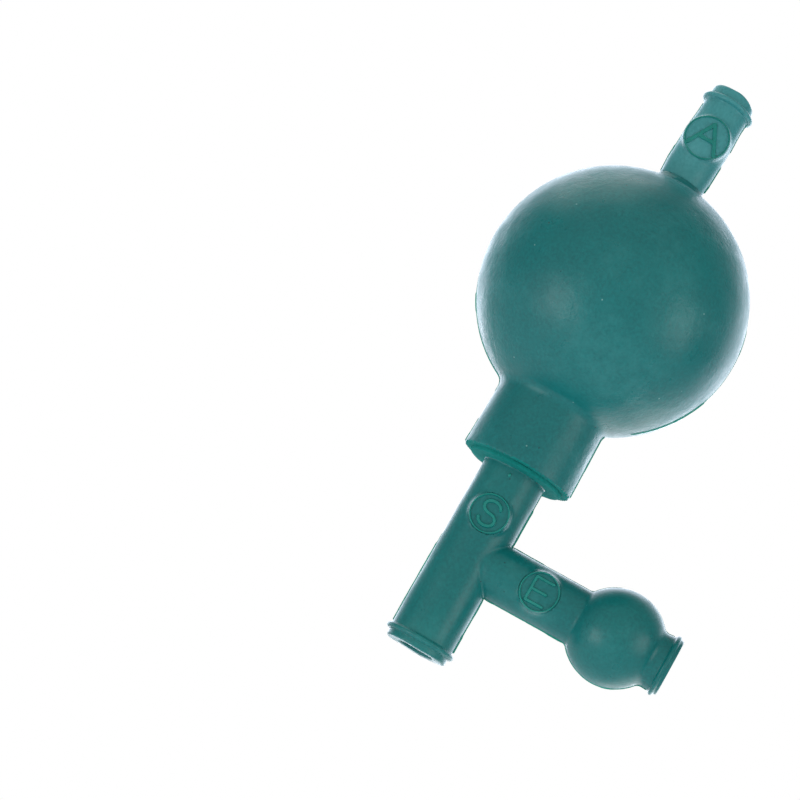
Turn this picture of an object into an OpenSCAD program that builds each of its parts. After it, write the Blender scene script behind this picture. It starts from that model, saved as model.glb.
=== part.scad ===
// Three-valve pipette filler: a large squeeze bulb with an air valve on top, plugged below by a
// rubber tee whose straight leg grips the pipette and whose side arm ends in a small blow-out bulb.
// The pipette leg runs along Z with its mouth at the origin, and the side arm points along +X.
// Each valve is a ball held tight in a tube: a pinch on the raised badge, with a thumb behind it,
// opens a way past the ball. The rubber that a hand presses in is cut out as its own sliding pad.

/* [Main bulb] */
// Outside diameter of the large bulb
bulb_d = 60; // [54:1:64]
// Thickness of the large bulb's wall
bulb_wall = 3; // [2.5:0.1:3.5]
// Length of the collar, from its open end to the foot of the large bulb
collar_l = 13.4; // [13.4:0.1:17]
// Outside diameter of the collar at its open end
collar_d = 25.8; // [25:0.1:27]
// Height of the collar's open end above the pipette mouth
collar_z = 44.6; // [44:0.1:46]
// Bore of the collar, which the tee's plug fills
collar_bore_d = 20.8; // [20:0.1:21.2]

/* [Tee] */
// Outside diameter of the pipette leg
leg_d = 14.7; // [14:0.1:15.5]
// Diameter of the socket that grips the pipette
socket_d = 8; // [7.6:0.1:8.2]
// Depth of the pipette socket
socket_depth = 15; // [12:0.5:16]
// Height of the side arm's axis
arm_z = 23.2; // [22:0.1:23.5]
// Outside diameter of the side arm
arm_d = 12.6; // [12:0.1:13]
// Diameter of the flange that stops the plug at the collar
flange_d = 22.5; // [22:0.1:24]

/* [Small bulb] */
// Outside diameter of the small blow-out bulb
small_d = 21.7; // [20.5:0.1:22.5]
// Thickness of the small bulb's wall
small_wall = 2.2; // [1.8:0.1:2.4]
// Distance of the small bulb's centre from the pipette leg's axis
small_x = 36; // [35:0.1:38]
// How far the neck, the side arm's open end, reaches past the small bulb
neck_l = 2.45; // [2:0.05:4]

/* [Air valve tube] */
// Outside diameter of the air valve tube
air_d = 10.8; // [10.4:0.1:11.2]
// Height of the boss that carries the tube, above the top of the large bulb
boss_h = 1.2; // [0.8:0.1:2]
// Length of the air valve tube above the boss
air_tube_l = 23.4; // [22:0.1:25.5]
// Lean of the air valve tube towards the side arm, in degrees
air_lean = 2.5; // [0:0.5:3]

/* [Valves] */
// Height of the suction valve, S, on the pipette leg
suction_z = 32.6; // [32:0.1:33.5]
// Distance of the outlet valve, E, along the side arm
outlet_x = 17.4; // [16.5:0.1:19]
// Height of the air valve, A, above the boss
air_valve_up = 10.3; // [9.2:0.1:10.8]
// Diameter of the S and E badges
badge_d = 9; // [8.4:0.1:9.2]
// Diameter of the A badge
air_badge_d = 10.4; // [9.8:0.1:10.6]
// How far a pinch presses in each side of the S valve
suction_pinch = 1; // [0.5:0.1:1]
// How far a pinch presses in each side of the A and E valves
side_pinch = 0.8; // [0.4:0.1:0.8]

/* [Hidden] */
$fn = 96;

rubber = "#1f7474";
steel = "#b9bcc0";
cut = 1;             // how far a cutting tool runs past the face that it opens
gap = 0.3;           // air left round rubber that moves past rubber
fit_gap = 0.05;      // play of the plug in the collar, and of the flange under it
bite = 0.3;          // how much wider, in radius, a valve ball is than its tube

bulb_r = bulb_d / 2;
bulb_z = collar_z + collar_l + bulb_r;
bulb_hollow_r = bulb_r - bulb_wall;
bulb_wall_r = 21;    // radius of the round patch of the large bulb that a hand presses in
collar_top_r = collar_d / 2 - 0.3;
collar_blend_z = bulb_z - bulb_r + 0.8;
collar_blend_h = 3.6;
collar_blend_r = collar_top_r + 3.1; // the flare from the collar into the large bulb
plug_depth = 13.4;
collar_seat_z = collar_z + plug_depth;
bulb_mouth_r = 6;    // hole from the collar into the large bulb
boss_r = air_d / 2 + 0.05;
boss_blend_h = boss_h + 0.8;
boss_blend_r = boss_r + 2.4;
boss_bore_r = 4.2;
boss_spare_h = 0.4;  // extra boss, cut off along the joint
air_pivot_z = bulb_z + 24;
air_joint_z = bulb_z + bulb_r + boss_h;
air_end_z = air_joint_z + air_tube_l;
air_z = air_joint_z + air_valve_up;
spigot_h = 4;
spigot_r = 3.8;

leg_r = leg_d / 2;
arm_r = arm_d / 2;
lip_r = leg_r - 0.3;
leg_bead_z = 2.15;
leg_bead_r = 0.75;
flange_h = 0.8;
plug_r = collar_bore_d / 2 - fit_gap;
plug_bevel = 1.2;
suction_bore_r = 3.7;
arm_bore_r = 3.4;
air_bore_r = 2.8;

small_r = small_d / 2;
small_hollow_r = small_r - small_wall;
small_wall_r = 6.8;  // radius of the round patch of the small bulb that a finger presses in
neck_r = 6.5;
neck_bore_r = 4.4;
arm_end_x = small_x + small_r + neck_l;
arm_bead_x = arm_end_x - 1.5;
arm_bead_r = 0.65;

air_r = air_d / 2;
air_lip_r = air_r - 0.15;
air_bead_z = air_end_z - 3.2;
air_bead_r = 0.85;
air_bead_ring_r = 5.6;

relief = 0.3;        // height of a badge's ring and letter
ring_w = 0.5;        // width of a badge's ring
stroke_w = 0.7;      // width of a letter's strokes
floor_drop = 0.4;    // how far a badge's floor lies behind the tube's front line
pad_t = 1.5;         // thickness of a pad where it lies over the tube's bore
air_pad_t = 1.2;
air_badge_y = 5.65;  // distance of the A badge's floor from the tube's axis
back_pad_d = 8;
air_back_pad_d = 7;
air_flat_y = air_badge_y - air_pad_t - side_pinch - gap / 2; // the flat behind the A badge

suction_letter_h = 6.3;
outlet_letter_h = 5.9;
air_letter_h = 6.5;
air_letter_up = 0.5; // how far the A sits above the badge's middle
air_stroke_w = 0.85;

// Everything on the air valve side leans about a point inside the large bulb.
module air_leaned() {
  translate([0, 0, air_pivot_z]) rotate([0, air_lean, 0]) translate([0, 0, -air_pivot_z]) children();
}

// A round bar that starts at the origin and runs along -Y, towards whoever reads the badges.
module front_bar(r, length) {
  rotate([90, 0, 0]) cylinder(h = length, r = r);
}

// A round bar along Y that runs as far in front of the origin as behind it.
module cross_bar(r, reach) {
  rotate([90, 0, 0]) cylinder(h = 2 * reach, r = r, center = true);
}

// A round rib that runs once round the Z axis.
module bead(ring_r, r) {
  rotate_extrude() translate([ring_r, 0]) circle(r = r, $fn = 32);
}

// Stands the children, modelled along Z from the origin, along the side arm's axis.
module along_arm(x) {
  translate([x, 0, arm_z]) rotate([0, 90, 0]) children();
}

// Part of a ring, from angle a0 to a1, as one stroke of a letter.
module arc_stroke(r, a0, a1, w) {
  steps = 16;
  turn = (a1 - a0) / steps;
  outer = [for (i = [0:steps]) (r + w / 2) * [cos(a0 + i * turn), sin(a0 + i * turn)]];
  inner = [for (i = [steps:-1:0]) (r - w / 2) * [cos(a0 + i * turn), sin(a0 + i * turn)]];
  polygon(concat(outer, inner));
}

// A straight stroke from p to q, with square ends.
module bar_stroke(p, q, w) {
  along = q - p;
  side = [-along.y, along.x] / norm(along) * w / 2;
  polygon([p + side, p - side, q - side, q + side]);
}

module letter_a(h, w) {
  apex = [0, h / 2];
  foot = [h * 0.49, -h / 2];
  bar = 0.56;
  bar_stroke(apex, foot, w);
  bar_stroke(apex, [-foot.x, foot.y], w);
  bar_stroke([-foot.x * bar, h / 2 - h * bar], [foot.x * bar, h / 2 - h * bar], w * 0.8);
}

module letter_e(h, w) {
  reach = h * 0.66;
  left = -reach / 2;
  top = (h - w) / 2;
  bar_stroke([left, -h / 2], [left, h / 2], w);
  bar_stroke([left, top], [left + reach, top], w);
  bar_stroke([left, 0], [left + reach * 0.85, 0], w);
  bar_stroke([left, -top], [left + reach, -top], w);
}

module letter_s(h, w) {
  bow = (h - w) / 4;
  translate([0, bow]) arc_stroke(bow, 15, 273, w);
  translate([0, -bow]) arc_stroke(bow, -165, 93, w);
}

// A badge: a round bar with a flat floor, and on the floor a raised ring and a raised letter.
module badge(d, floor_y) {
  front_bar(d / 2, floor_y);
  difference() {
    front_bar(d / 2, floor_y + relief);
    front_bar(d / 2 - ring_w, floor_y + relief + cut);
  }
  translate([0, -floor_y + relief, 0]) rotate([90, 0, 0]) linear_extrude(2 * relief) children();
}

// The space that a pad in a tube of radius r needs: its own outline with a gap, and a floor that
// follows the pad's back, one full press further in.
module pad_pocket(d, r, press) {
  difference() {
    front_bar(d / 2 + gap / 2, r + cut);
    translate([0, press + gap / 2, 0]) cylinder(h = 2 * d, r = r - pad_t, center = true);
  }
}

// A plain pad on the back of a tube of radius r.
module back_pad(d, r) {
  difference() {
    intersection() {
      rotate([-90, 0, 0]) cylinder(h = r + cut, r = d / 2);
      cylinder(h = 2 * d, r = r, center = true);
    }
    cylinder(h = 2 * d, r = r - pad_t, center = true);
  }
}

// The badge's pad on the front of a tube of radius r.
module badge_pad(r) {
  difference() {
    badge(badge_d, r - floor_drop) children();
    cylinder(h = 2 * badge_d, r = r - pad_t, center = true);
  }
}

// Half of the large bulb's section, with its collar and boss, drawn from the Z axis outwards.
module bulb_section() {
  boss_root_z = bulb_z + bulb_hollow_r + 1;
  boss_top_z = air_joint_z + boss_spare_h;
  blend_top_z = air_joint_z - 0.6;
  difference() {
    union() {
      translate([0, bulb_z]) circle(r = bulb_r, $fn = 128);
      polygon([
        [0, collar_z],
        [collar_d / 2, collar_z],
        [collar_top_r, collar_blend_z],
        [collar_blend_r, collar_blend_z + collar_blend_h],
        [0, collar_blend_z + collar_blend_h]
      ]);
      translate([0, boss_root_z]) square([boss_r, boss_top_z - boss_root_z]);
      polygon([
        [0, blend_top_z - boss_blend_h],
        [boss_blend_r, blend_top_z - boss_blend_h],
        [boss_r - 0.2, blend_top_z],
        [0, blend_top_z]
      ]);
    }
    translate([0, bulb_z]) circle(r = bulb_hollow_r, $fn = 128);
    translate([-cut, collar_z - cut]) square([collar_bore_d / 2 + cut, collar_seat_z - collar_z + cut]);
    translate([-cut, collar_z]) square([bulb_mouth_r + cut, bulb_z - collar_z]);
    translate([0, bulb_z]) square([boss_bore_r, bulb_r + boss_top_z]);
    translate([-2 * bulb_r, 0]) square([2 * bulb_r, 2 * bulb_z]);
  }
}

// The large bulb. A round hole through both sides leaves room for the walls that are pressed in,
// and the boss is cut off square to the leaning air valve tube.
module main_bulb() {
  color(rubber) difference() {
    rotate_extrude() bulb_section();
    translate([0, 0, bulb_z]) cross_bar(bulb_wall_r + gap, bulb_r + cut);
    air_leaned() translate([0, 0, air_joint_z]) cylinder(h = 2 * boss_spare_h + cut, r = 2 * boss_r);
  }
}

// The round patch of the large bulb's wall that a hand presses in, on the -Y side.
module bulb_wall_patch() {
  color(rubber) translate([0, 0, bulb_z]) intersection() {
    difference() {
      sphere(r = bulb_r, $fn = 128);
      sphere(r = bulb_hollow_r, $fn = 128);
    }
    front_bar(bulb_wall_r, bulb_r + cut);
  }
}

module bulb_front_wall() {
  bulb_wall_patch();
}

module bulb_back_wall() {
  mirror([0, 1, 0]) bulb_wall_patch();
}

// The air valve's tube, with a spigot in the boss, a bead below its mouth and a flat under the badge.
module air_valve_tube() {
  color(rubber) air_leaned() difference() {
    union() {
      translate([0, 0, air_joint_z]) cylinder(h = air_bead_z - air_joint_z, r = air_r);
      translate([0, 0, air_bead_z]) cylinder(h = air_end_z - air_bead_z, r = air_lip_r);
      translate([0, 0, air_bead_z]) bead(air_bead_ring_r, air_bead_r);
      translate([0, 0, air_joint_z - spigot_h]) cylinder(h = spigot_h + cut, r = spigot_r);
      translate([0, 0, air_z]) front_bar(air_badge_d / 2, air_flat_y);
    }
    translate([0, 0, air_joint_z - spigot_h - cut])
      cylinder(h = air_end_z - air_joint_z + spigot_h + 2 * cut, r = air_bore_r);
    translate([0, -air_flat_y, air_z]) front_bar(air_badge_d / 2 + gap / 2, air_r);
    translate([0, 0, air_z]) rotate([0, 0, 180]) pad_pocket(air_back_pad_d, air_r, side_pinch);
  }
}

module air_valve_ball() {
  color(steel) air_leaned() translate([0, 0, air_z]) sphere(r = air_bore_r + bite);
}

// The A badge is a flat disc as wide as the tube.
module air_badge_pad() {
  color(rubber) air_leaned() translate([0, 0, air_z]) difference() {
    badge(air_badge_d, air_badge_y) translate([0, air_letter_up]) letter_a(air_letter_h, air_stroke_w);
    front_bar(air_badge_d / 2 + cut, air_badge_y - air_pad_t);
  }
}

module air_back_pad() {
  color(rubber) air_leaned() translate([0, 0, air_z]) back_pad(air_back_pad_d, air_r);
}

// Half of the pipette leg's outline with its lip, bead, flange and plug, drawn from the Z axis outwards.
module leg_outline() {
  plug_top = collar_seat_z - gap;
  translate([leg_r, leg_bead_z]) circle(r = leg_bead_r, $fn = 32);
  polygon([
    [0, 0],
    [lip_r, 0],
    [lip_r, leg_bead_z],
    [leg_r, leg_bead_z],
    [leg_r, collar_z - flange_h - fit_gap],
    [flange_d / 2, collar_z - flange_h - fit_gap],
    [flange_d / 2, collar_z - fit_gap],
    [plug_r, collar_z - fit_gap],
    [plug_r, plug_top - plug_bevel],
    [plug_r - plug_bevel, plug_top],
    [0, plug_top]
  ]);
}

// The pipette leg's way through: the socket, then the narrower tube that holds the suction valve.
module leg_way() {
  translate([0, -cut]) square([socket_d / 2, socket_depth + cut]);
  square([suction_bore_r, collar_seat_z + cut]);
}

// Half of the side arm's outline with the small bulb, the neck and its bead, drawn along +Y.
module arm_outline() {
  square([arm_r, small_x]);
  intersection() {
    translate([0, small_x]) circle(r = small_r);
    translate([0, small_x - small_r]) square([small_r, 2 * small_r]);
  }
  translate([0, small_x]) square([neck_r, arm_end_x - small_x]);
  translate([neck_r, arm_bead_x]) circle(r = arm_bead_r, $fn = 32);
}

// The side arm's way through: its tube, the small bulb's hollow and the neck.
module arm_way() {
  square([arm_bore_r, small_x]);
  intersection() {
    translate([0, small_x]) circle(r = small_hollow_r);
    translate([0, small_x - small_r]) square([small_r, 2 * small_r]);
  }
  translate([0, small_x]) square([neck_bore_r, arm_end_x - small_x + cut]);
}

// The tee: pipette leg, plug and flange, side arm, small bulb and neck, all one moulding.
module tee_body() {
  color(rubber) difference() {
    union() {
      rotate_extrude() leg_outline();
      along_arm(0) rotate_extrude() arm_outline();
    }
    rotate_extrude() leg_way();
    along_arm(0) rotate_extrude() arm_way();
    translate([small_x, 0, arm_z]) cross_bar(small_wall_r + gap, small_r + cut);
    translate([0, 0, suction_z]) pad_pocket(badge_d, leg_r, suction_pinch);
    translate([0, 0, suction_z]) rotate([0, 0, 180]) pad_pocket(back_pad_d, leg_r, suction_pinch);
    along_arm(outlet_x) pad_pocket(badge_d, arm_r, side_pinch);
    along_arm(outlet_x) rotate([0, 0, 180]) pad_pocket(back_pad_d, arm_r, side_pinch);
  }
}

module suction_valve_ball() {
  color(steel) translate([0, 0, suction_z]) sphere(r = suction_bore_r + bite);
}

module suction_badge_pad() {
  color(rubber) translate([0, 0, suction_z]) badge_pad(leg_r) letter_s(suction_letter_h, stroke_w);
}

module suction_back_pad() {
  color(rubber) translate([0, 0, suction_z]) back_pad(back_pad_d, leg_r);
}

module outlet_valve_ball() {
  color(steel) translate([outlet_x, 0, arm_z]) sphere(r = arm_bore_r + bite);
}

// The letter is turned back a quarter, so that it stands upright on the arm that lies across it.
module outlet_badge_pad() {
  color(rubber) along_arm(outlet_x) badge_pad(arm_r) rotate(90) letter_e(outlet_letter_h, stroke_w);
}

module outlet_back_pad() {
  color(rubber) along_arm(outlet_x) back_pad(back_pad_d, arm_r);
}

// The round patch of the small bulb's wall that a finger presses in, on the -Y side.
module small_wall_patch() {
  color(rubber) translate([small_x, 0, arm_z]) intersection() {
    difference() {
      sphere(r = small_r);
      sphere(r = small_hollow_r);
    }
    front_bar(small_wall_r, small_r + cut);
  }
}

module small_bulb_front_wall() {
  small_wall_patch();
}

module small_bulb_back_wall() {
  mirror([0, 1, 0]) small_wall_patch();
}

main_bulb();
bulb_front_wall();
bulb_back_wall();
air_valve_tube();
air_valve_ball();
air_badge_pad();
air_back_pad();
tee_body();
suction_valve_ball();
suction_badge_pad();
suction_back_pad();
outlet_valve_ball();
outlet_badge_pad();
outlet_back_pad();
small_bulb_front_wall();
small_bulb_back_wall();
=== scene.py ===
# %% [markdown]
# # A three-valve pipette filler in moulded rubber
# The filler is three soft rubber mouldings pushed together: a large squeeze bulb with a collar, a
# small air valve tube on top, and a tee with a pipette leg, a side arm and a blow-out bulb.
# Rubber mouldings have no sharp joints, only fillets, beads and the thin flash that the mould
# leaves, so each moulding is described as one distance field and meshed from it. Polygon
# modelling or booleans with bevels would also do, but the places where two tubes grow out of each
# other are the hard part there, and in a field they are a single soft union.

import math

import bmesh
import bpy
import numpy as np
from mathutils import Matrix, Vector


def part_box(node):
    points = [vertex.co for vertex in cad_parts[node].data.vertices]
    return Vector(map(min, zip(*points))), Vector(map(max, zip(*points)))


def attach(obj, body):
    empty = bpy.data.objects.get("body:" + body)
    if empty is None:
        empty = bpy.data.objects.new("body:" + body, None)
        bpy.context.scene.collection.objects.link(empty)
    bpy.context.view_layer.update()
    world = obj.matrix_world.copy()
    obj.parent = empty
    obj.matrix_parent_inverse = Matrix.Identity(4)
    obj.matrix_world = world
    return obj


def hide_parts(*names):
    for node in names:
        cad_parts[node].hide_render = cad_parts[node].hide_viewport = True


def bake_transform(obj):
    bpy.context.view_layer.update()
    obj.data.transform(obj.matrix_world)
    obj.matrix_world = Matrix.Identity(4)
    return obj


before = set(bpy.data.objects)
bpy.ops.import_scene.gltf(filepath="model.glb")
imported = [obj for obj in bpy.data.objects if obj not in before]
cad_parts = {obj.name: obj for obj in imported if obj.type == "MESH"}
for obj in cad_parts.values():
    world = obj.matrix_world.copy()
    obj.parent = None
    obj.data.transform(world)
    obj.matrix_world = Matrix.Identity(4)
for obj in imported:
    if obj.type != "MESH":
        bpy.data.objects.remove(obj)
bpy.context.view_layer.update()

# %% [markdown]
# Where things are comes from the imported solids: the middle of a ball or a pad gives each valve,
# and the box of a wall patch gives the centre of the bulb that it belongs to. Shapes are worked
# out in millimetres, which keep the numbers readable, and meshes are made in metres.

# %% Places on the filler
MM = 0.001


def middle(node):
    low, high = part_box(node)
    return (low + high) / 2 / MM


def reach(node, axis, side):
    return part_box(node)[side][axis] / MM


bulb_x, _, bulb_z = middle("bulb_front_wall")
bulb_r = round(-reach("bulb_front_wall", 1, 0))
bulb_wall = 3.0
collar_z = reach("main_bulb", 2, 0)
joint_z = reach("main_bulb", 2, 1)
small_x, _, arm_z = middle("small_bulb_front_wall")
small_r = 10.85
suction_z = middle("suction_valve_ball").z
outlet_x = middle("outlet_valve_ball").x
air_ball = middle("air_valve_ball")
leg_r, arm_r, air_r = 7.35, 6.3, 5.4
arm_end_x = reach("tee_body", 0, 1)
air_end_z = reach("air_valve_tube", 2, 1)
lean_pivot_z = bulb_z + 24
lean = math.atan2(air_ball.x, air_ball.z - lean_pivot_z)
joint_z -= air_r * math.sin(lean) + 0.3
flange_r, flange_h = 11.25, 0.8

# Inner and edge sizes, which no box shows.
collar_r, collar_bore_r, plug_depth = 12.9, 10.4, 13.4
bulb_mouth_r, boss_bore_r, spigot_r = 6.0, 4.2, 3.7
leg_bore_r, arm_bore_r, air_bore_r = 3.7, 3.4, 2.8
seat_slack = 0.35  # how much wider, in radius, a ball's seat is than the bore beside it
socket_r, socket_l = 4.0, 15
small_wall = 2.2
neck_r, neck_bore_r = 6.2, 4.4
leg_bead_z, air_bead_z, arm_bead_x = 2.15, air_end_z - 3.2, arm_end_x - 1.4
print("large bulb", bulb_r, "at z", round(bulb_z, 1), "; small bulb at x", round(small_x, 1))
print("valves: S at z", round(suction_z, 1), "; E at x", round(outlet_x, 1))
print("valve A at z", round(air_ball.z, 1))
print("air tube leans", round(math.degrees(lean), 1), "degrees")

# %% [markdown]
# The camera stands a little to the right and a little below, with a long lens, and is rolled so
# that the filler hangs across the frame with its air valve at the upper right.

# %% Camera
camera_azimuth = math.radians(8.0)
camera_elevation = math.radians(-9.65)
camera_roll = math.radians(30.1)
camera_distance = 0.5293
camera_aim = Vector((bulb_x - 29.9, 0, bulb_z - 42.0)) * MM

camera_back = Vector((
    math.sin(camera_azimuth) * math.cos(camera_elevation),
    -math.cos(camera_azimuth) * math.cos(camera_elevation),
    math.sin(camera_elevation),
))
camera_data = bpy.data.cameras.new("camera")
camera_data.lens = 108.9
camera = bpy.data.objects.new("camera", camera_data)
bpy.context.scene.collection.objects.link(camera)
level = (-camera_back).to_track_quat("-Z", "Y").to_matrix()
camera.matrix_world = (level @ Matrix.Rotation(camera_roll, 3, "Z")).to_4x4()
camera.location = camera_aim + camera_back * camera_distance
bpy.context.scene.camera = camera
bpy.context.view_layer.update()
print("camera at", [round(v, 3) for v in camera.location])

# %% [markdown]
# A distance field says how far a point is from a surface: below zero in the rubber, above zero in
# the air. These few helpers are all the shapes that the mouldings need. A soft union rounds the
# corner where two shapes meet, as the cutter that made the mould did, and a soft cut does the same
# to the rim of a hole.

# %% Field helpers
def soft_union(a, b, k):
    share = np.clip(0.5 + 0.5 * (b - a) / k, 0, 1)
    return b + (a - b) * share - k * share * (1 - share)


def soft_cut(a, hole, k):
    return -soft_union(-a, hole, k)


def ball(x, y, z, r):
    return np.sqrt(x * x + y * y + z * z) - r


def bar(across, along, r, start, end, edge):
    """A round bar: across is the distance from its axis, along the distance down it."""
    out = across - r + edge
    past = np.abs(along - (start + end) / 2) - (end - start) / 2 + edge
    corner = np.sqrt(np.maximum(out, 0) ** 2 + np.maximum(past, 0) ** 2)
    return corner + np.minimum(np.maximum(out, past), 0) - edge


def rib(across, along, ring_r, r, at):
    return np.sqrt((across - ring_r) ** 2 + (along - at) ** 2) - r


def smooth(t):
    t = np.clip(t, 0, 1)
    return t * t * (3 - 2 * t)


def hand_waver(x, y, z, length, phase):
    """A gentle unevenness between -1 and 1, the same on every run."""
    turn = 2 * math.pi / length
    first = np.sin(x * turn + phase) * np.sin(y * turn * 0.8 + 2 * phase)
    first = first * np.sin(z * turn * 0.9 + 3 * phase)
    second = np.sin((x + z) * turn * 0.57 + phase) * np.sin((y - z) * turn * 0.66 + phase)
    return 0.5 * first + 0.5 * second

# %% [markdown]
# To mesh a field, the space is divided into small cells. Each cell that the surface crosses gets
# one point, and each cell edge that it crosses gets a face between the four cells around it. That
# is the surface nets method, and it gives even, all-quad meshes. The points are then slid along
# the surface to space them evenly and pulled exactly onto it.

# %% Field to mesh
def slope(field, points, step=0.02):
    columns = []
    for axis in range(3):
        nudge = np.zeros(3)
        nudge[axis] = step
        columns.append(field(*(points + nudge).T) - field(*(points - nudge).T))
    return np.stack(columns, 1) / (2 * step)


def settle(field, points, rounds):
    for _ in range(rounds):
        g = slope(field, points)
        steep = np.maximum((g * g).sum(1), 0.3)
        points = points - g * (field(*points.T) / steep)[:, None]
    return points


def even_out(field, points, quads, rounds):
    a = quads[:, [0, 1, 2, 3]].ravel()
    b = quads[:, [1, 2, 3, 0]].ravel()
    count = np.bincount(a, minlength=len(points)) + np.bincount(b, minlength=len(points))
    for _ in range(rounds):
        mean = np.zeros_like(points)
        for axis in range(3):
            total = np.bincount(a, points[b, axis], len(points))
            total += np.bincount(b, points[a, axis], len(points))
            mean[:, axis] = total / count
        g = slope(field, points)
        g /= np.maximum(np.linalg.norm(g, axis=1), 1e-6)[:, None]
        move = mean - points
        move -= g * (move * g).sum(1)[:, None]
        points = settle(field, points + 0.6 * move, 1)
    return points


def net_over(field, low, high, step):
    """Points and quads of the field's zero surface inside the box from low to high."""
    axes = [np.arange(a, b + step, step, dtype=np.float32) for a, b in zip(low, high)]
    x, y, z = np.meshgrid(*axes, indexing="ij", sparse=True)
    inside = field(x, y, z) < 0
    cells = [n - 1 for n in inside.shape]
    corners = np.zeros(cells, np.int8)
    for i, j, k in np.ndindex(2, 2, 2):
        corners += inside[i:i + cells[0], j:j + cells[1], k:k + cells[2]]
    crossed = (corners > 0) & (corners < 8)
    number = np.full(cells, -1, np.int64)
    number[crossed] = np.arange(crossed.sum())
    points = np.argwhere(crossed) * step + np.array(low) + step / 2
    quads = []
    for axis in range(3):
        here = np.take(inside, np.arange(cells[axis]), axis)
        there = np.take(inside, np.arange(1, cells[axis] + 1), axis)
        edges = np.argwhere(here != there)
        u, v = (axis + 1) % 3, (axis + 2) % 3
        kept = (edges[:, u] > 0) & (edges[:, v] > 0)
        kept &= (edges[:, u] < cells[u]) & (edges[:, v] < cells[v])
        edges = edges[kept]
        ring = []
        for du, dv in ((0, 0), (1, 0), (1, 1), (0, 1)):
            cell = edges.copy()
            cell[:, u] -= du
            cell[:, v] -= dv
            ring.append(number[tuple(cell.T)])
        quad = np.stack(ring, 1)
        outward = here[tuple(edges.T)]
        quad[~outward] = quad[~outward][:, ::-1]
        quads.append(quad)
    quads = np.concatenate(quads)
    points = even_out(field, settle(field, points, 3), quads, 4)
    return settle(field, points, 3), quads

# %% [markdown]
# A skin that bends has to be cut where it changes from one moving part to another, and the cut
# must not show. So every piece is cut from one finished mesh by flat planes, the cuts are closed
# with flat faces, and each point keeps the normal of the uncut surface, taken from the field.

# %% Cutting a skin into pieces
def mesh_of(points, quads, name):
    mesh = bpy.data.meshes.new(name)
    mesh.vertices.add(len(points))
    mesh.vertices.foreach_set("co", (points * MM).astype(np.float32).ravel())
    mesh.loops.add(quads.size)
    mesh.loops.foreach_set("vertex_index", quads.astype(np.int32).ravel())
    mesh.polygons.add(len(quads))
    mesh.polygons.foreach_set("loop_start", np.arange(0, quads.size, 4, dtype=np.int32))
    mesh.update(calc_edges=True)
    return mesh


def keep_side(bm, place, outward):
    """Cuts away what lies beyond a plane and closes the cut with flat faces."""
    everything = bm.verts[:] + bm.edges[:] + bm.faces[:]
    bmesh.ops.bisect_plane(
        bm, geom=everything, dist=1e-7, plane_co=Vector(place) * MM, plane_no=outward, clear_outer=True
    )
    open_edges = [e for e in bm.edges if e.is_boundary]
    made = bmesh.ops.triangle_fill(bm, edges=open_edges, use_beauty=True, use_dissolve=False)
    for face in made["geom"]:
        if isinstance(face, bmesh.types.BMFace):
            face.smooth = False
            face.material_index = 0
            if face.normal.dot(Vector(outward)) < 0:
                face.normal_flip()


def piece_of(source, name, cuts, field):
    """A closed piece of a meshed skin, with the uncut skin's normals."""
    bm = bmesh.new()
    bm.from_mesh(source)
    for face in bm.faces:
        face.smooth = True
    for place, outward in cuts:
        keep_side(bm, place, outward)
    mesh = bpy.data.meshes.new(name)
    bm.to_mesh(mesh)
    bm.free()
    points = np.empty(len(mesh.vertices) * 3, np.float32)
    mesh.vertices.foreach_get("co", points)
    points = points.reshape(-1, 3).astype(float) / MM
    g = slope(field, points)
    g /= np.maximum(np.linalg.norm(g, axis=1), 1e-6)[:, None]
    corner = np.empty(len(mesh.loops), np.int32)
    mesh.loops.foreach_get("vertex_index", corner)
    normals = g[corner]
    size = np.empty(len(mesh.polygons), np.int32)
    mesh.polygons.foreach_get("loop_total", size)
    rounded = np.empty(len(mesh.polygons), bool)
    mesh.polygons.foreach_get("use_smooth", rounded)
    flat = np.empty(len(mesh.polygons) * 3, np.float32)
    mesh.polygons.foreach_get("normal", flat)
    flat = np.repeat(flat.reshape(-1, 3), size, 0)
    on_cut = ~np.repeat(rounded, size)
    normals[on_cut] = flat[on_cut]
    mesh.normals_split_custom_set(normals.tolist())
    piece = bpy.data.objects.new(name, mesh)
    bpy.context.scene.collection.objects.link(piece)
    print(name, len(mesh.vertices), "points")
    return piece

# %% [markdown]
# The large bulb is a hollow ball with a slightly tapered collar below and a low boss on top. The
# fillet between ball and collar is small, so the line round the collar stays crisp. The ball is a
# little out of true, as soft rubber is after it has been pulled off its core.

# %% The large bulb's field
def leaned(x, z):
    """Turns a place on the leaning air tube back upright."""
    c, s = math.cos(lean), math.sin(lean)
    return x * c - (z - lean_pivot_z) * s, x * s + (z - lean_pivot_z) * c + lean_pivot_z


def bulb_field(x, y, z):
    waver = hand_waver(x, y, z, 34, 1.1)
    skin = ball(x, y, z - bulb_z, bulb_r - 0.06) + 0.08 * waver
    across = np.sqrt(x * x + y * y)
    taper = 0.3 * (z - collar_z) / 16
    trim = 0.08 * hand_waver(x, y, 0 * z, 9, 0.6)
    collar = bar(across + taper, z, collar_r, collar_z + trim, bulb_z - 24, 0.3)
    skin = soft_union(skin, collar, 1.6)
    ax, az = leaned(x, z)
    aside = np.sqrt(ax * ax + y * y)
    boss = bar(aside, az, air_r + 0.02, bulb_z + 25, joint_z, 0.12)
    skin = soft_union(skin, boss, 2.2)
    hollow = ball(x, y, z - bulb_z, bulb_r - bulb_wall)
    seat = bar(across, z, collar_bore_r, collar_z - 5, collar_z + plug_depth, 0.2)
    mouth = bar(across, z, bulb_mouth_r, collar_z, bulb_z - 15, 0.2)
    neck = bar(aside, az, boss_bore_r, bulb_z + 15, joint_z + 5, 0.1)
    hollow = soft_union(soft_union(hollow, mouth, 1.5), soft_union(seat, neck, 0.1), 0.1)
    return soft_cut(skin, hollow, 0.5)

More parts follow.
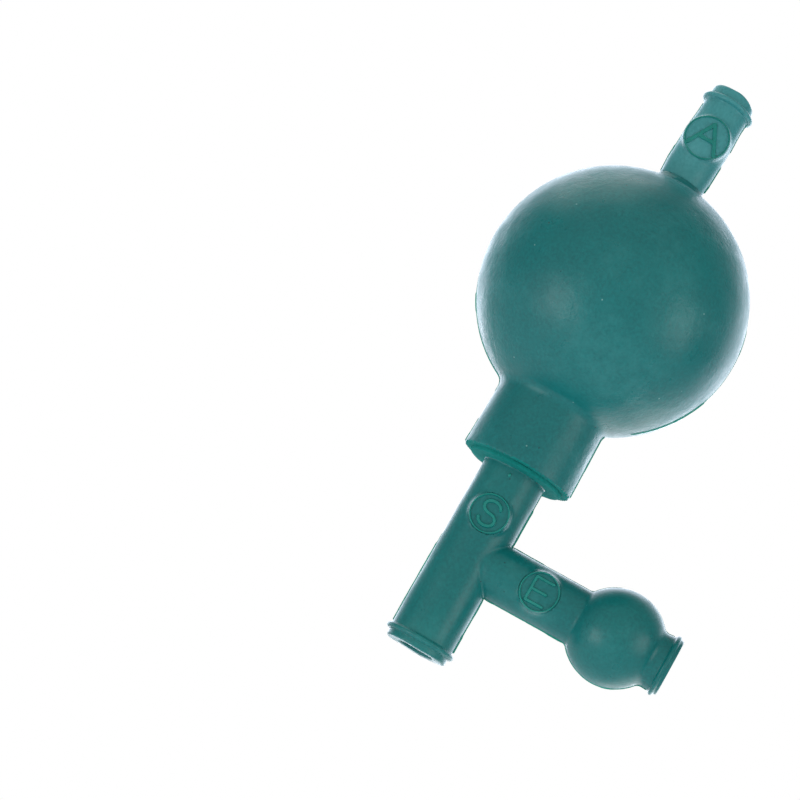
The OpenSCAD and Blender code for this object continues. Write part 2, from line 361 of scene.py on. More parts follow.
# %% [markdown]
# The air valve tube leans a little towards the side arm. Its badge is a flat disc as wide as the
# tube, so the moulding swells out beside it. The mouth is cut a little lower on the side towards
# the arm. The badge's own raised ring and letter come later, as a finer piece that lies in the
# shallow recess cut here.

# %% The air valve tube's field
air_badge_r, air_badge_y = 5.2, 5.65


def air_tube_field(x, y, z):
    ax, az = leaned(x, z)
    across = np.sqrt(ax * ax + y * y)
    waver = 0.07 * hand_waver(ax, y, az, 13, 0.4)
    swell = 0.25 * smooth((az - joint_z) / 4) * smooth((air_ball.z + 7 - az) / 6)
    skin = bar(across - swell + waver, az, air_r - 0.05, joint_z - 0.08, air_bead_z, 0.12)
    trim = 0.25 * hand_waver(ax, y, 0 * z, 8, 1.9) - 0.9 * smooth((ax - 0.5) / 5)
    narrowing = 0.06 * (az - air_end_z + 3)
    lip = bar(across + narrowing, az, air_r - 0.1, air_end_z - 4, air_end_z - 0.1 + trim, 0.5)
    skin = soft_union(skin, lip, 0.3)
    skin = soft_union(skin, rib(across, az, air_r + 0.3, 0.62, air_bead_z + 0.4 * trim), 0.45)
    facing = np.sqrt(ax * ax + (az - air_ball.z) ** 2)
    disc = bar(facing, -y, air_badge_r + 0.12, 0.5, air_badge_y - 0.05, 0.7)
    skin = soft_union(skin, disc, 0.9)
    recess = bar(facing, -y, air_badge_r - 0.08, air_badge_y - 0.35, air_badge_y + 3, 0.05)
    skin = soft_cut(skin, recess, 0.08)
    spigot = bar(across, az, spigot_r, joint_z - 4, joint_z + 2, 0.3)
    skin = soft_union(skin, spigot, 0.1)
    bore = bar(across, az, air_bore_r, joint_z - 9, air_end_z + 5, 0.1)
    bore = soft_union(bore, ball(ax, y, az - air_ball.z, air_bore_r + seat_slack), 0.4)
    return soft_cut(skin, bore, 0.5)

# %% [markdown]
# The tee is one moulding: the pipette leg with a plug and flange above and a bead and lip below,
# the side arm, the small bulb and its short neck. The arm grows out of the leg with a fine crease
# round its root, and meets the small bulb in another. The flange has a ragged rim.

# %% The tee's field
badge_r = 4.5
leg_floor, arm_floor = leg_r - 0.4, arm_r - 0.4


def badge_seat(skin, facing, front, floor):
    """Adds the disc under a badge and sinks the recess that the badge lies in."""
    disc = bar(facing, front, badge_r + 0.12, 0.5, floor - 0.05, 0.7)
    skin = soft_union(skin, disc, 0.9)
    recess = bar(facing, front, badge_r - 0.05, floor - 0.35, floor + 3, 0.05)
    return soft_cut(skin, recess, 0.08)


def tee_hollow(x, y, z, across, arm_across):
    """The way through: socket, leg bore, arm bore, small bulb and neck, with two ball seats."""
    socket = bar(across, z, socket_r, -5, socket_l, 0.3)
    bore = bar(across, z, leg_bore_r, 2, collar_z + 20, 0.3)
    arm_bore = bar(arm_across, x, arm_bore_r, 0, small_x, 0.3)
    hollow = ball(x - small_x, y, z - arm_z, small_r - small_wall)
    outlet = bar(arm_across, x, neck_bore_r, small_x, arm_end_x + 5, 0.3)
    bore = soft_union(bore, ball(x, y, z - suction_z, leg_bore_r + seat_slack), 0.4)
    arm_bore = soft_union(arm_bore, ball(x - outlet_x, y, z - arm_z, arm_bore_r + seat_slack), 0.4)
    way = soft_union(soft_union(socket, bore, 0.2), soft_union(arm_bore, hollow, 0.8), 0.8)
    return soft_union(way, outlet, 0.8)


def tee_field(x, y, z):
    across = np.sqrt(x * x + y * y)
    arm_across = np.sqrt(y * y + (z - arm_z) ** 2)
    waver = 0.06 * hand_waver(x, y, z, 15, 2.2)
    trim = 0.14 * hand_waver(x, y, 0 * z, 8, 0.9)
    skin = bar(across + waver, z, leg_r - 0.06, leg_bead_z, collar_z, 0.2)
    skin = soft_union(skin, bar(across + waver, z, leg_r - 0.3, 0.02 + trim, 6, 0.3), 0.2)
    skin = soft_union(skin, rib(across, z, leg_r + 0.1, 0.6, leg_bead_z), 0.35)
    arm = bar(arm_across + waver, x, arm_r - 0.04, 0, small_x, 0.2)
    crease = 0.13 * np.exp(-(((arm - skin) / 0.55) ** 2))
    skin = soft_union(skin, arm, 0.45) + crease
    bulb = ball(x - small_x, y, z - arm_z, small_r - 0.04) + waver
    skin = soft_union(skin, bulb, 0.55)
    neck_flare = 0.25 * smooth((x - small_x - 8) / 4)
    neck_end = arm_end_x - 0.1 + 0.4 * trim
    neck = bar(arm_across - neck_flare + waver, x, neck_r, small_x, neck_end, 0.3)
    skin = soft_union(skin, neck, 0.9)
    skin = soft_union(skin, rib(arm_across, x, neck_r + 0.3, 0.56, arm_bead_x), 0.35)
    skin = badge_seat(skin, np.sqrt(x * x + (z - suction_z) ** 2), -y, leg_floor)
    skin = badge_seat(skin, np.sqrt((x - outlet_x) ** 2 + (z - arm_z) ** 2), -y, arm_floor)
    rag = 0.2 * hand_waver(x, y, 0 * z, 10, 0.3) + 0.16 * hand_waver(x, y, 0 * z, 3.7, 1.3)
    flange = bar(across + rag, z, flange_r - 0.15, collar_z - flange_h, collar_z + 0.1, 0.12)
    plug = bar(across, z, collar_bore_r - 0.05, collar_z - 0.6, collar_z + plug_depth - 0.3, 0.8)
    skin = soft_union(skin, soft_union(flange, plug, 0.1), 0.3)
    return soft_cut(skin, tee_hollow(x, y, z, across, arm_across), 0.6)

# %% [markdown]
# The three mouldings are meshed as fine as each one's smallest edge asks: the large bulb is
# smooth, the tee has beads and a ragged flange, and the air tube has the thinnest lip.

# %% Mesh the three mouldings
bulb_points, bulb_quads = net_over(
    bulb_field, (-bulb_r - 1, -bulb_r - 1, collar_z - 1), (bulb_r + 1, bulb_r + 1, joint_z + 1), 0.5
)
bulb_source = mesh_of(bulb_points, bulb_quads, "bulb_source")
air_points, air_quads = net_over(
    air_tube_field, (-7, -7, joint_z - 5), (9, 7, air_end_z + 1), 0.22
)
air_source = mesh_of(air_points, air_quads, "air_source")
tee_points, tee_quads = net_over(
    tee_field, (-12.3, -12.3, -0.9), (arm_end_x + 1, 12.3, collar_z + 14), 0.3
)
tee_source = mesh_of(tee_points, tee_quads, "tee_source")
print("faces:", len(bulb_quads), len(air_quads), len(tee_quads))

# %% [markdown]
# The finishes are all built from a few nodes: noise for clouds and grain, round spots for specks
# and pits, a ramp that turns either into a colour, and bumps laid one over the other. They use the
# object's own space, in metres, so a scale of 400 gives features of 2.5 mm.

# %% Nodes for the finishes
def link(tree, a, b):
    tree.links.new(a, b)


def noise(tree, place, scale, detail=3.0, rough=0.55):
    node = tree.nodes.new("ShaderNodeTexNoise")
    node.inputs["Scale"].default_value = scale
    node.inputs["Detail"].default_value = detail
    node.inputs["Roughness"].default_value = rough
    link(tree, place, node.inputs["Vector"])
    return node.outputs["Fac"]


def ramp(tree, value, stops):
    node = tree.nodes.new("ShaderNodeValToRGB")
    while len(node.color_ramp.elements) < len(stops):
        node.color_ramp.elements.new(0.5)
    for element, (at, colour) in zip(node.color_ramp.elements, stops):
        element.position = at
        element.color = (*colour, 1)
    link(tree, value, node.inputs["Fac"])
    return node.outputs["Color"]


def mix(tree, share, a, b):
    node = tree.nodes.new("ShaderNodeMix")
    node.data_type = "RGBA"
    link(tree, share, node.inputs["Factor"])
    link(tree, a, node.inputs["A"])
    if isinstance(b, tuple):
        node.inputs["B"].default_value = (*b, 1)
    else:
        link(tree, b, node.inputs["B"])
    return node.outputs["Result"]


def spots(tree, place, scale, size, share):
    """Round spots, in only a share of the cells."""
    cells = tree.nodes.new("ShaderNodeTexVoronoi")
    cells.inputs["Scale"].default_value = scale
    link(tree, place, cells.inputs["Vector"])
    near = tree.nodes.new("ShaderNodeMapRange")
    near.inputs["From Min"].default_value = size
    near.inputs["From Max"].default_value = size * 0.5
    link(tree, cells.outputs["Distance"], near.inputs["Value"])
    pick = tree.nodes.new("ShaderNodeSeparateColor")
    link(tree, cells.outputs["Color"], pick.inputs["Color"])
    chosen = tree.nodes.new("ShaderNodeMath")
    chosen.operation = "LESS_THAN"
    chosen.inputs[1].default_value = share
    link(tree, pick.outputs["Red"], chosen.inputs[0])
    both = tree.nodes.new("ShaderNodeMath")
    both.operation = "MULTIPLY"
    link(tree, near.outputs["Result"], both.inputs[0])
    link(tree, chosen.outputs["Value"], both.inputs[1])
    return both.outputs["Value"]


def bump(tree, height, distance, strength, below=None):
    node = tree.nodes.new("ShaderNodeBump")
    node.inputs["Distance"].default_value = distance
    node.inputs["Strength"].default_value = strength
    link(tree, height, node.inputs["Height"])
    if below:
        link(tree, below, node.inputs["Normal"])
    return node.outputs["Normal"]


# %% [markdown]
# Rubber takes its colour right through, so all three mouldings share one recipe: a blue-green
# with soft cloudy patches, a fine grain, worn places that are paler and rougher, a few pale dust
# specks, pinholes painted dark as painted shade in the pits, and a satin gloss that varies a
# little. A sheen stands for the dry bloom that old rubber has. The large bulb is handled most and
# has the strongest scuffs. Rubber that a knife or the mould's edge has left is quite matt, and is
# painted brighter there, a painted highlight along those edges. Painting it all by hand would
# also work, but noise in the object's own space runs on over every cut.

# %% Rubber
def rubber(name, deep, pale, gloss_low=0.25, gloss_high=0.44, bloom=0.16, shine=0.36, scuff=0.0001):
    material = bpy.data.materials.new(name)
    material.use_nodes = True
    tree = material.node_tree
    shader = tree.nodes["Principled BSDF"]
    place = tree.nodes.new("ShaderNodeTexCoord").outputs["Object"]
    scuffs = tree.nodes.new("ShaderNodeMath")
    scuffs.operation = "MULTIPLY"
    link(tree, noise(tree, place, 420, 4.0, 0.7), scuffs.inputs[0])
    patches = ramp(tree, noise(tree, place, 48, 2.0), [(0.40, (0.25,) * 3), (0.62, (1.0,) * 3)])
    link(tree, patches, scuffs.inputs[1])
    clouds = noise(tree, place, 55)
    grain = noise(tree, place, 1500, 2.0)
    tone = ramp(tree, clouds, [(0.32, deep), (0.7, pale)])
    darker, lighter = tuple(0.9 * c for c in deep), tuple(1.08 * c for c in pale)
    fine = ramp(tree, grain, [(0.3, darker), (0.75, lighter)])
    colour = mix(tree, noise(tree, place, 300, 2.0), tone, fine)
    worn = tree.nodes.new("ShaderNodeMath")
    worn.operation = "MULTIPLY"
    wear = ramp(tree, scuffs.outputs["Value"], [(0.30, (0.0,) * 3), (0.62, (1.0,) * 3)])
    link(tree, wear, worn.inputs[0])
    worn.inputs[1].default_value = 0.5
    colour = mix(tree, worn.outputs["Value"], colour, tuple(0.02 + 1.12 * c for c in pale))
    specks = spots(tree, place, 260, 0.06, 0.22)
    pinholes_painted_dark = spots(tree, place, 380, 0.08, 0.16)
    colour = mix(tree, specks, colour, (0.16, 0.36, 0.34))
    # Pinholes painted dark: painted shade inside the pits.
    colour = mix(tree, pinholes_painted_dark, colour, (0.004, 0.05, 0.05))
    link(tree, colour, shader.inputs["Base Color"])
    stops = [(0.3, (gloss_low,) * 3), (0.7, (gloss_high,) * 3)]
    link(tree, ramp(tree, noise(tree, place, 140, 4.0), stops), shader.inputs["Roughness"])
    shader.inputs["Specular IOR Level"].default_value = shine
    shader.inputs["Sheen Weight"].default_value = bloom
    shader.inputs["Sheen Roughness"].default_value = 0.25
    shader.inputs["Sheen Tint"].default_value = (0.72, 0.89, 1.0, 1)
    uneven = bump(tree, noise(tree, place, 110, 1.5), 0.00025, 0.5)
    dimpled = bump(tree, spots(tree, place, 62, 0.16, 0.4), -0.6 * scuff, 0.8, uneven)
    scuffed = bump(tree, scuffs.outputs["Value"], scuff, 0.8, dimpled)
    grained = bump(tree, noise(tree, place, 2600, 2.0), 0.00002, 0.6, scuffed)
    pitted = bump(tree, pinholes_painted_dark, -0.00004, 0.8, grained)
    link(tree, pitted, shader.inputs["Normal"])
    return material


bulb_rubber = rubber("bulb_rubber", (0.001, 0.126, 0.129), (0.004, 0.180, 0.178), scuff=0.00028)
tee_rubber = rubber("tee_rubber", (0.001, 0.129, 0.130), (0.004, 0.181, 0.174))
air_rubber = rubber("air_tube_rubber", (0.036, 0.245, 0.256), (0.062, 0.310, 0.324), bloom=0.75)
# Paler rubber for raised tops: painted light on the badges' ring and letter and on the scrap.
relief_painted_light_rubber = rubber("relief_painted_light_rubber", (0.002, 0.185, 0.160), (0.006, 0.245, 0.205))
flash_rubber = rubber("flash_rubber", (0.003, 0.27, 0.19), (0.008, 0.36, 0.26), 0.45, 0.6)
# The cut rubber is painted paler than the bulb and tee rubber: a painted highlight along cut edges.
cut_and_highlight_rubber = rubber("cut_and_highlight_rubber", (0.006, 0.190, 0.170), (0.014, 0.255, 0.230), 0.8, 0.95, 0.0, 0.05)


def show_cut_and_highlight(piece, is_cut):
    """Gives the matt cut rubber, whose paleness is a painted highlight, to the faces is_cut picks."""
    piece.data.materials.append(cut_and_highlight_rubber)
    for face in piece.data.polygons:
        if is_cut(face):
            face.material_index = 1


print("rubbers:", [m.name for m in bpy.data.materials if "rubber" in m.name])

# %% [markdown]
# The valve balls are ordinary bearing balls, seen only down the mouths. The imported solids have
# the right shape, so they stay and only get their polished steel.

# %% Ball steel
def ball_steel():
    material = bpy.data.materials.new("ball_steel")
    material.use_nodes = True
    tree = material.node_tree
    shader = tree.nodes["Principled BSDF"]
    place = tree.nodes.new("ShaderNodeTexCoord").outputs["Object"]
    tone = ramp(tree, noise(tree, place, 500), [(0.3, (0.50, 0.51, 0.53)), (0.7, (0.62, 0.63, 0.64))])
    link(tree, tone, shader.inputs["Base Color"])
    gloss = ramp(tree, noise(tree, place, 900), [(0.3, (0.16,) * 3), (0.7, (0.28,) * 3)])
    link(tree, gloss, shader.inputs["Roughness"])
    shader.inputs["Metallic"].default_value = 1.0
    link(tree, bump(tree, noise(tree, place, 4000), 0.000005, 0.5), shader.inputs["Normal"])
    return material


steel = ball_steel()
for name in ("air_valve_ball", "suction_valve_ball", "outlet_valve_ball"):
    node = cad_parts[name]
    node.data.materials.clear()
    node.data.materials.append(steel)
    for face in node.data.polygons:
        face.use_smooth = True

# %% [markdown]
# A finger makes the rubber sink under it and round it, and leaves it still further off. Weights
# say that for each point: 1 under the finger, 0 along the parting plane, where front and back
# meet, and 0 round the bores, which stay round.

# %% Weights of the pressed places
def hollow_of(points, centre, half_width, fade):
    """1 under the finger, fading to 0 at its edge, seen from the front."""
    away = np.hypot(points[:, 0] - centre[0], points[:, 2] - centre[1])
    return smooth((half_width + fade - away) / fade)


def upright(points):
    ax, az = leaned(points[:, 0], points[:, 2])
    return np.stack([ax, points[:, 1], az], 1)


def bulb_press(points):
    return smooth((np.abs(points[:, 1]) - 13) / (bulb_r - 13))


def small_press(points):
    near = hollow_of(points, (small_x, arm_z), 5.2, 3.5)
    return near * smooth((np.abs(points[:, 1]) - 5.0) / (small_r - 5.0))


def suction_press(points):
    thick = smooth((np.hypot(points[:, 0], points[:, 1]) - 4.2) / 2.2)
    deep = smooth((np.abs(points[:, 1]) - 0.6) / 3.2)
    return thick * deep * hollow_of(points, (0, suction_z), 4.65, 2.6)


def outlet_press(points):
    thick = smooth((np.hypot(points[:, 1], points[:, 2] - arm_z) - 3.8) / 1.8)
    deep = smooth((np.abs(points[:, 1]) - 0.6) / 2.8)
    return thick * deep * hollow_of(points, (outlet_x, arm_z), 4.65, 1.6)


def air_press(points):
    points = upright(points)
    thick = smooth((np.hypot(points[:, 0], points[:, 1]) - 3.2) / 1.2)
    deep = smooth((np.abs(points[:, 1]) - 1.2) / 3.2)
    return thick * deep * hollow_of(points, (0, air_ball.z), 5.4, 2.8)


def press_between(piece, pressed, weights):
    """Bakes a piece in place and counts the points that the weights give to the pressed body."""
    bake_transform(piece)
    points = np.empty(len(piece.data.vertices) * 3, np.float32)
    piece.data.vertices.foreach_get("co", points)
    share = weights(points.reshape(-1, 3).astype(float) / MM)
    print("  ", piece.name, "moves with", pressed, "at", int((share > 0.5).sum()), "points")

# %% [markdown]
# Each moulding is cut along the plane between its two mould halves, because its front and its
# back are pressed in by different fingers. The tee is also cut across the arm, once near the leg
# and once in the crease at the small bulb, so that each pinch has a piece of its own, and under
# the flange, so that the plug stays whole.

# %% Cut the skins
front_half, back_half = ((0, 0, 0), (0, 1, 0)), ((0, 0, 0), (0, -1, 0))
leg_cut, crease_cut = 9.8, small_x - 8.83


def skin(name, source, field, cuts, material, slot, replaced, still, pressed, weights):
    piece = piece_of(source, name, cuts, field)
    piece.data.materials.append(material)
    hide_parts(*replaced)
    press_between(piece, pressed, weights)
    return piece


bulb_front_skin = skin("bulb_front_skin", bulb_source, bulb_field, [front_half], bulb_rubber, "bulb_rubber",
                       ["main_bulb", "bulb_front_wall"], "bulb", "bulb_front", bulb_press)
bulb_back_skin = skin("bulb_back_skin", bulb_source, bulb_field, [back_half], bulb_rubber, "bulb_rubber",
                      ["bulb_back_wall"], "bulb", "bulb_back", bulb_press)
for piece in (bulb_front_skin, bulb_back_skin):
    show_cut_and_highlight(piece, lambda face: face.normal.z < -0.8 and face.center.z / MM < collar_z + 0.5)
skin("air_tube_front_skin", air_source, air_tube_field, [front_half], air_rubber, "air_tube_rubber",
     ["air_valve_tube"], "bulb", "air_badge", air_press)
skin("air_tube_back_skin", air_source, air_tube_field, [back_half], air_rubber, "air_tube_rubber",
     ["air_back_pad"], "bulb", "air_back", air_press)

plug_cut = 40.5
plug_skin = piece_of(tee_source, "plug_skin", [((0, 0, plug_cut), (0, 0, -1))], tee_field)
plug_skin.data.materials.append(tee_rubber)


def on_flange(face):
    beside = math.hypot(face.center.x, face.center.y) / MM > leg_r + 0.1
    return beside and collar_z - 1.5 < face.center.z / MM < collar_z + 0.2


show_cut_and_highlight(plug_skin, on_flange)
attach(plug_skin, "tee")
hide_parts("tee_body")

below_plug = ((0, 0, plug_cut), (0, 0, 1))
leg_side = ((leg_cut, 0, 0), (1, 0, 0))
arm_sides = [((leg_cut, 0, 0), (-1, 0, 0)), ((crease_cut, 0, 0), (1, 0, 0))]
small_side = ((crease_cut, 0, 0), (-1, 0, 0))
for half, side, finger in ((front_half, "front", "badge"), (back_half, "back", "back")):
    pads = [] if side == "front" else ["suction_back_pad", "outlet_back_pad"]
    skin(f"leg_{side}_skin", tee_source, tee_field, [below_plug, half, leg_side], tee_rubber,
         "tee_rubber", pads[:1], "tee", f"suction_{finger}", suction_press)
    skin(f"arm_{side}_skin", tee_source, tee_field, [below_plug, half, *arm_sides], tee_rubber,
         "tee_rubber", pads[1:], "tee", f"outlet_{finger}", outlet_press)
    skin(f"small_bulb_{side}_skin", tee_source, tee_field, [below_plug, half, small_side],
         tee_rubber, "tee_rubber", [f"small_bulb_{side}_wall"], "tee", f"small_bulb_{side}",
         small_press)

# %% [markdown]
# Each badge is a round plate with a raised ring and one raised letter that says what the valve
# does: A lets air out, S draws liquid up and E empties. They are plain strokes with soft edges,
# and their raised tops are painted a little paler, a painted light on the relief. An S is two arcs
# that meet in the middle.

# %% Letters
def to_stroke(u, v, path):
    """Distance from each place (u, v) to a line of joined straight strokes."""
    best = np.full(np.broadcast(u, v).shape, 1e3)
    for (u0, v0), (u1, v1) in zip(path[:-1], path[1:]):
        du, dv = u1 - u0, v1 - v0
        t = np.clip(((u - u0) * du + (v - v0) * dv) / (du * du + dv * dv), 0, 1)
        best = np.minimum(best, np.hypot(u - u0 - t * du, v - v0 - t * dv))
    return best


def bow(centre_v, r, start, end):
    angles = np.radians(np.linspace(start, end, 12))
    return [(r * math.cos(a), centre_v + r * math.sin(a)) for a in angles]


def s_curve(r, wide):
    return [(wide * u, v) for u, v in bow(r, r, 10, 270) + bow(-r, r, 90, -170)]


letter_paths = {
    "A": [[(-3.35, -2.95), (0, 3.55), (3.35, -2.95)], [(-1.95, -0.35), (1.95, -0.35)]],
    "S": [s_curve(1.42, 1.3)],
    "E": [[(2.0, 2.75), (-2.0, 2.75), (-2.0, -2.75), (2.0, -2.75)], [(-2.0, 0), (1.5, 0)]],
}


# %% [markdown]
# The plate of a badge is meshed from its own field, much finer than the tubes, and lies in the
# recess that the tube has for it. Ring and letter rise from it with soft flanks.

# %% Badges
def badge_field(letter, place, r, floor, stroke, ring):
    relief, flank = 0.4, 0.22

    def field(x, y, z):
        x, z = place(x, z)
        out = np.hypot(x, z)
        from_ring = np.abs(out - (r - 0.27)) - ring / 2
        from_letter = np.minimum.reduce([to_stroke(x, z, path) for path in letter_paths[letter]])
        flow = 0.03 * hand_waver(x, 0 * x, z, 3.1, 0.8)
        raised = np.minimum(from_ring, from_letter - stroke / 2) + flow
        height = relief * smooth(0.5 - raised / flank)
        top = 0.75 * (-y - floor - height)
        plate = bar(out, -y, r + 0.05, floor - 0.75, floor + 2, 0.05)
        return -soft_union(-top, -plate, 0.06)

    return field


def badge(name, letter, place, centre, r, floor, body, replaced, material, stroke):
    field = badge_field(letter, place, r, floor, stroke, 0.4)
    low = (centre[0] - r - 0.4, -floor - 0.6, centre[1] - r - 0.4)
    high = (centre[0] + r + 0.4, -floor + 1.1, centre[1] + r + 0.4)
    points, quads = net_over(field, low, high, 0.1)
    source = mesh_of(points, quads, name + "_source")
    piece = piece_of(source, name, [], field)
    piece.data.materials.append(material)
    piece.data.materials.append(relief_painted_light_rubber)
    for face in piece.data.polygons:
        # Faces raised above the plate take the paler rubber: painted light on the ring and letter.
        face.material_index = int(-face.center.y / MM > floor + 0.2)
    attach(piece, body)
    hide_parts(replaced)


def air_place(x, z):
    ax, az = leaned(x, z)
    return ax, az - air_ball.z


def suction_place(x, z):
    return x + 0 * z, z - suction_z + 0 * x


def outlet_place(x, z):
    return x - outlet_x + 0 * z, z - arm_z + 0 * x


air_centre = (air_ball.x, air_ball.z)
badge("air_badge", "A", air_place, air_centre, air_badge_r, air_badge_y, "air_badge",
      "air_badge_pad", air_rubber, 0.9)
badge("suction_badge", "S", suction_place, (0, suction_z), badge_r, leg_floor, "suction_badge",
      "suction_badge_pad", tee_rubber, 0.72)
badge("outlet_badge", "E", outlet_place, (outlet_x, arm_z), badge_r, arm_floor, "outlet_badge",
      "outlet_badge_pad", tee_rubber, 0.66)

# %% [markdown]
# Where the two halves of the mould met, a paper-thin fin of rubber is left standing. It runs
# round the outline of every moulding. That outline is found by walking rays outwards in the
# parting plane until they leave the rubber.

# %% The outline in the parting plane
def rays(x, z, degrees, scale, count):
    """A fan or a row of rays: each of x, z and degrees is one value or a (first, last) pair."""
    def spread(value):
        first, last = value if isinstance(value, tuple) else (value, value)
        return np.linspace(first, last, count)
    return np.stack([spread(x), spread(z), np.radians(spread(degrees)), spread(scale)], 1)


def outline(field, fan, farthest):
    """The last place on each ray that is still rubber."""
    t = np.linspace(0, farthest, int(farthest * 16))[None, :]
    x = fan[:, :1] + t * np.cos(fan[:, 2:3])
    z = fan[:, 1:2] + t * np.sin(fan[:, 2:3])
    rubber_here = field(x, 0 * x, z) < 0
    last = t.shape[1] - 1 - np.argmax(rubber_here[:, ::-1], 1)
    low, high = t[0, last], t[0, np.minimum(last + 1, t.shape[1] - 1)]
    for _ in range(12):
        half = (low + high) / 2
        px, pz = fan[:, 0] + half * np.cos(fan[:, 2]), fan[:, 1] + half * np.sin(fan[:, 2])
        within = field(px, 0 * px, pz) < 0
        low, high = np.where(within, half, low), np.where(within, high, half)
    return np.stack([fan[:, 0] + low * np.cos(fan[:, 2]), 0 * low, fan[:, 1] + low * np.sin(fan[:, 2])], 1)


# %% [markdown]
# The fin is torn away in places, and trimming leaves small steps in it. It is a thin ribbon set on
# edge along the outline, with its root sunk in the rubber and its crest half as thick.

# %% A fin of flash
def torn_heights(lengths, seed, low=0.12, high=0.33, missing=0.15):
    """Fin height along the outline: stretches of different height with small steps between."""
    chance = np.random.default_rng(seed)
    heights, reached, value = [], 0.0, high
    for here in lengths:
        if here >= reached:
            reached = here + chance.uniform(1.5, 8)
            value = -0.12 if chance.random() < missing else chance.uniform(low, high)
        heights.append(value + chance.uniform(-0.015, 0.015))
    heights = np.array(heights)
    return np.convolve(np.pad(heights, 1, mode="edge"), [0.25, 0.5, 0.25], "valid")


def flash(name, field, fans, body, seed, farthest, material=flash_rubber):
    fan = np.concatenate(fans)
    line = outline(field, fan, farthest)
    gap = np.linalg.norm(np.diff(line, axis=0), axis=1)
    length = np.concatenate([[0], np.cumsum(gap)])
    even = np.arange(0, length[-1], 0.3)
    line = np.stack([np.interp(even, length, line[:, k]) for k in range(3)], 1)
    scale = np.interp(even, length, fan[:, 3])
    out = slope(field, line)
    out[:, 1] = 0
    out /= np.maximum(np.linalg.norm(out, axis=1), 1e-6)[:, None]
    height = torn_heights(even, seed)
    height = np.where(height > 0, height * scale, height)
    height[0] = height[-1] = -0.12
    crest_side = np.array([0, 0.045, 0])
    root_side = np.array([0, 0.1, 0])
    root = line - 0.3 * out
    crest = line + height[:, None] * out
    rows = np.stack([root - root_side, crest - crest_side, crest + crest_side, root + root_side], 1)
    count = len(even)
    start = np.arange(count - 1)[:, None] * 4
    quads = [start + np.array([k, (k + 1) % 4, 4 + (k + 1) % 4, 4 + k]) for k in range(4)]
    ends = np.array([[3, 2, 1, 0], [4 * count - 4, 4 * count - 3, 4 * count - 2, 4 * count - 1]])
    mesh = mesh_of(rows.reshape(-1, 3), np.concatenate([*quads, ends]), name)
    bm = bmesh.new()
    bm.from_mesh(mesh)
    bmesh.ops.recalc_face_normals(bm, faces=bm.faces)
    bm.to_mesh(mesh)
    bm.free()
    mesh.materials.append(material)
    piece = bpy.data.objects.new(name, mesh)
    bpy.context.scene.collection.objects.link(piece)
    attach(piece, body)
    print(name, "is", round(length[-1]), "mm long")


# %% [markdown]
# The large bulb is trimmed closest, the tubes least. Each moulding has a fin up either side, laid
# out as fans of rays from a centre and rows of rays from an axis.

# %% Flash on the three mouldings
sphere_foot = bulb_z - 27.5
flash("bulb_flash_left", bulb_field, [
    rays(0, (collar_z + 0.3, sphere_foot), 180, 1, 60),
    rays(0, bulb_z, (245, 205), 1, 80),
    rays(0, bulb_z, (205, 106), 0.45, 160),
], "bulb", 3, 34)
flash("bulb_flash_right", bulb_field, [
    rays(0, (collar_z + 0.3, sphere_foot), 0, 0.8, 60),
    rays(0, bulb_z, (-65, -20), 0.9, 80),
    rays(0, bulb_z, (-20, 74), 0.45, 160),
], "bulb", 5, 34)
air_foot, air_head = joint_z + 0.6, air_end_z - 4.4
for side, degrees, seed in (("left", 180, 8), ("right", 0, 11)):
    flash(f"air_tube_flash_{side}", air_tube_field, [
        rays((0.3, 1.0), (air_foot, air_head), degrees, 1.1, 90),
    ], "bulb", seed, 9)
leg_top = collar_z - flange_h - 0.5
flash("leg_flash", tee_field, [rays(0, (3.2, leg_top), 180, 1, 120)], "tee", 21, 9)
corner_x = arm_r / math.tan(math.radians(33))
flash("arm_upper_flash", tee_field, [
    rays(0, (leg_top, arm_z + 8), 0, 1, 50),
    rays(0, arm_z, (47, 33), 1, 24),
    rays((corner_x, small_x - 9), arm_z, 90, 0.9, 60),
    rays(small_x, arm_z, (144, 37), 0.5, 90),
    rays((small_x + 8.8, arm_end_x - 2), arm_z, 90, 1, 12),
], "tee", 26, 20)
flash("arm_lower_flash", tee_field, [
    rays(0, (3.2, arm_z - 8), 0, 1, 40),
    rays(0, arm_z, (-47, -33), 1, 24),
    rays((corner_x, small_x - 9), arm_z, -90, 0.9, 60),
    rays(small_x, arm_z, (-144, -37), 0.8, 90),
    rays((small_x + 8.8, arm_end_x - 2), arm_z, -90, 1, 12),
], "tee", 33, 20)

# %% [markdown]
# A scrap of rubber, as small as a grain of sand, stands on the leg just under the flange, where
# the mould was vented. It takes the paler relief rubber, a painted highlight on the scrap.

# %% The scrap on the leg
def nib_field(x, y, z):
    waver = 0.04 * hand_waver(x, y, z, 1.1, 0.5)
    return ball(x + 0.3, 1.6 * (y + leg_r), 0.8 * (z - 41.9), 0.33) + waver


nib_low, nib_high = (-1.1, -leg_r - 0.7, 41.1), (0.5, -leg_r + 0.7, 42.7)
nib_points, nib_quads = net_over(nib_field, nib_low, nib_high, 0.08)
nib = piece_of(mesh_of(nib_points, nib_quads, "nib_source"), "leg_nib", [], nib_field)
# The paler relief rubber here is a painted highlight on the scrap.
nib.data.materials.append(relief_painted_light_rubber)
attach(nib, "tee")

# %% [markdown]
# The filler hangs in front of a white studio wall: the wall gives the bright edges, two soft boxes
# on either side of the camera give the two broad highlights on the bulb, two more above and below
# widen the bright edge there, and the side of the room behind the camera is dim. The pale floor
# lies well below.

# %% Studio
lamp_distance = 0.4


def soft_box(name, sideways, upwards, towards, size, power):
    """A square lamp placed by its direction as the camera sees it, aimed at the bulb."""
    turn = camera.matrix_world.to_3x3()
    direction = (turn @ Vector((sideways, upwards, towards))).normalized()
    target = Vector((bulb_x, 0, bulb_z - 15)) * MM
    data = bpy.data.lights.new(name, "AREA")
    data.shape = "SQUARE"
    data.size = size
    data.energy = power
    lamp = bpy.data.objects.new(name, data)
    lamp.location = target + direction * lamp_distance
    lamp.rotation_mode = "QUATERNION"
    lamp.rotation_quaternion = (-direction).to_track_quat("-Z", "Y")
    bpy.context.scene.collection.objects.link(lamp)


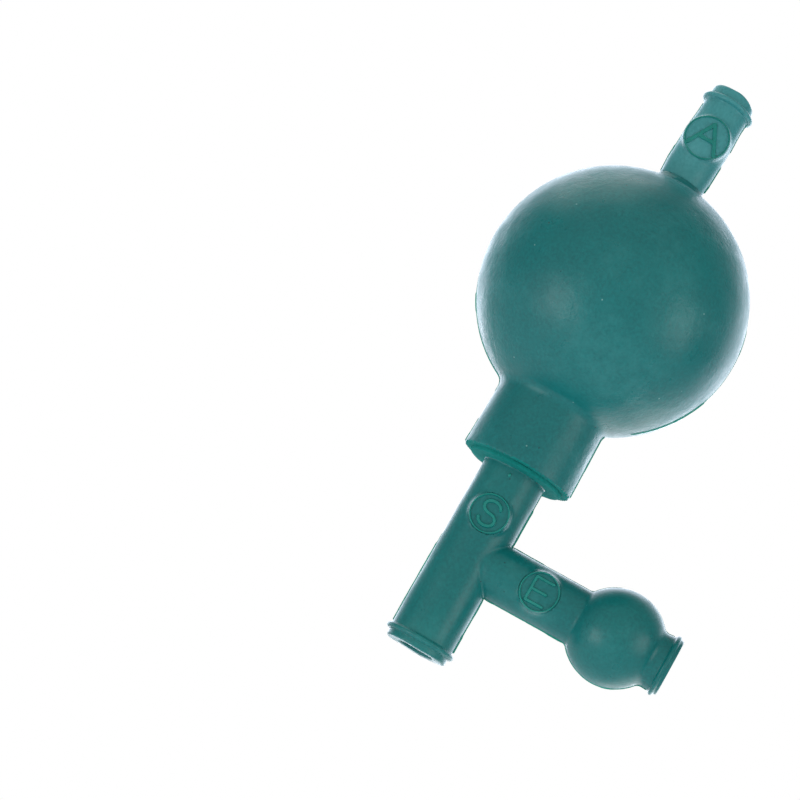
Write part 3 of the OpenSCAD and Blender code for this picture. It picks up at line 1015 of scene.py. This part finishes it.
soft_box("left_soft_box", -0.76, 0.0, 0.65, 0.22, 0.31)
soft_box("right_soft_box", 0.78, -0.27, 0.56, 0.22, 0.29)
soft_box("upper_soft_box", -0.05, 0.92, -0.37, 0.3, 0.42)
soft_box("lower_soft_box", 0.20, -0.86, -0.46, 0.3, 0.33)

world = bpy.data.worlds.new("white_studio")
world.use_nodes = True
tree = world.node_tree
background = tree.nodes["Background"]
direction = tree.nodes.new("ShaderNodeTexCoord").outputs["Generated"]
split = tree.nodes.new("ShaderNodeSeparateXYZ")
link(tree, direction, split.inputs["Vector"])
half = tree.nodes.new("ShaderNodeMapRange")
half.inputs["From Min"].default_value = -1.0
half.inputs["From Max"].default_value = 1.0
link(tree, split.outputs["Y"], half.inputs["Value"])
room = ramp(tree, half.outputs["Result"], [
    (0.0, (0.185, 0.188, 0.183)), (0.25, (0.150, 0.153, 0.149)), (0.47, (0.065, 0.066, 0.066)),
    (0.74, (0.10, 0.105, 0.115)), (0.92, (0.66, 0.72, 0.83)), (1.0, (0.88, 0.92, 1.0)),
])
seen = tree.nodes.new("ShaderNodeLightPath").outputs["Is Camera Ray"]
shown = mix(tree, seen, room, (0.25, 0.25, 0.25))
link(tree, shown, background.inputs["Color"])
background.inputs["Strength"].default_value = 4.0
bpy.context.scene.world = world

floor_mesh = bpy.data.meshes.new("floor")
floor_z, floor_half = -0.25, 1.5
floor_mesh.from_pydata(
    [(-floor_half, -floor_half, floor_z), (floor_half, -floor_half, floor_z),
     (floor_half, floor_half, floor_z), (-floor_half, floor_half, floor_z)], [], [(0, 1, 2, 3)]
)
floor = bpy.data.objects.new("floor", floor_mesh)
bpy.context.scene.collection.objects.link(floor)
floor_paint = bpy.data.materials.new("pale_floor")
floor_paint.use_nodes = True
floor_shader = floor_paint.node_tree.nodes["Principled BSDF"]
floor_shader.inputs["Base Color"].default_value = (0.8, 0.8, 0.8, 1)
floor_shader.inputs["Roughness"].default_value = 0.9
floor_shader.inputs["Emission Color"].default_value = (1, 1, 1, 1)
floor_shader.inputs["Emission Strength"].default_value = 0.12
floor_mesh.materials.append(floor_paint)
bpy.context.scene.view_settings.view_transform = "Standard"
print("studio ready")
